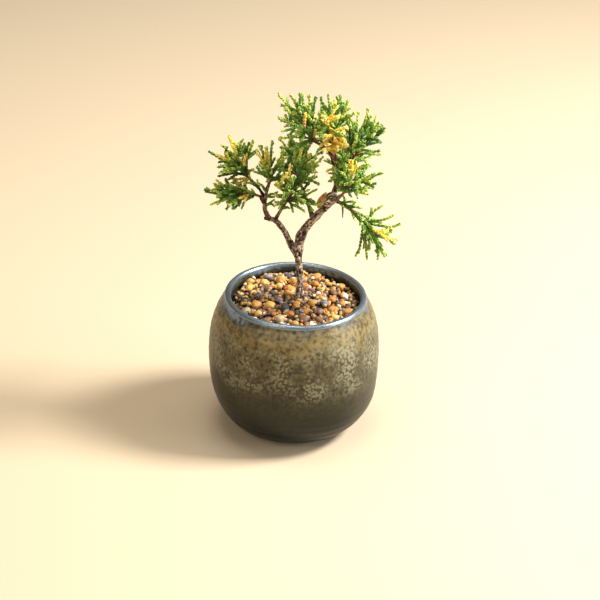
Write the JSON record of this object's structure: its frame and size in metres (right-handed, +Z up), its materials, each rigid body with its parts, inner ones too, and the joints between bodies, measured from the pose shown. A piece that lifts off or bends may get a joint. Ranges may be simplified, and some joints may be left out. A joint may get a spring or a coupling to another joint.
{
  "type": "potted conifer",
  "caption": "Miniature scale-leaved conifer with a forked trunk and airy foliage masses, in a round glazed pot of grit.",
  "frame": {"origin": "centre of the pot's flat underside", "axes": "+Z up the trunk, -Y towards the front from which the plant is seen, +X to the right, the side of the hanging spray"},
  "size_m": [0.0695, 0.064, 0.1337],
  "materials": {
    "glaze": "dark olive-brown metallic glaze with pale crystal spots and a blue-grey lip",
    "grit": "loose mixed grit of ochre, brown and grey stones",
    "bark": "grey-brown flaking bark",
    "leaves": "green scale leaves, some sprays golden"
  },
  "bodies": {
    "root": {"pot": "glaze", "grit": "grit", "trunk": "bark", "bough_left": "bark", "limb_left": "bark", "limb_left_low": "bark", "limb_left_high": "bark", "limb_centre": "bark", "leader": "bark", "limb_top_left": "bark", "limb_top_right": "bark", "limb_right": "bark", "limb_right_high": "bark", "limb_back_left": "bark", "limb_back_right": "bark", "limb_back_top": "bark", "foliage_left_low": "leaves", "foliage_left_high": "leaves", "foliage_left_inner": "leaves", "foliage_centre": "leaves", "foliage_top_left": "leaves", "foliage_top": "leaves", "foliage_top_right": "leaves", "foliage_right": "leaves", "foliage_hanging": "leaves", "foliage_back_left": "leaves", "foliage_back_right": "leaves", "foliage_back_top": "leaves"}
  },
  "joints": []
}
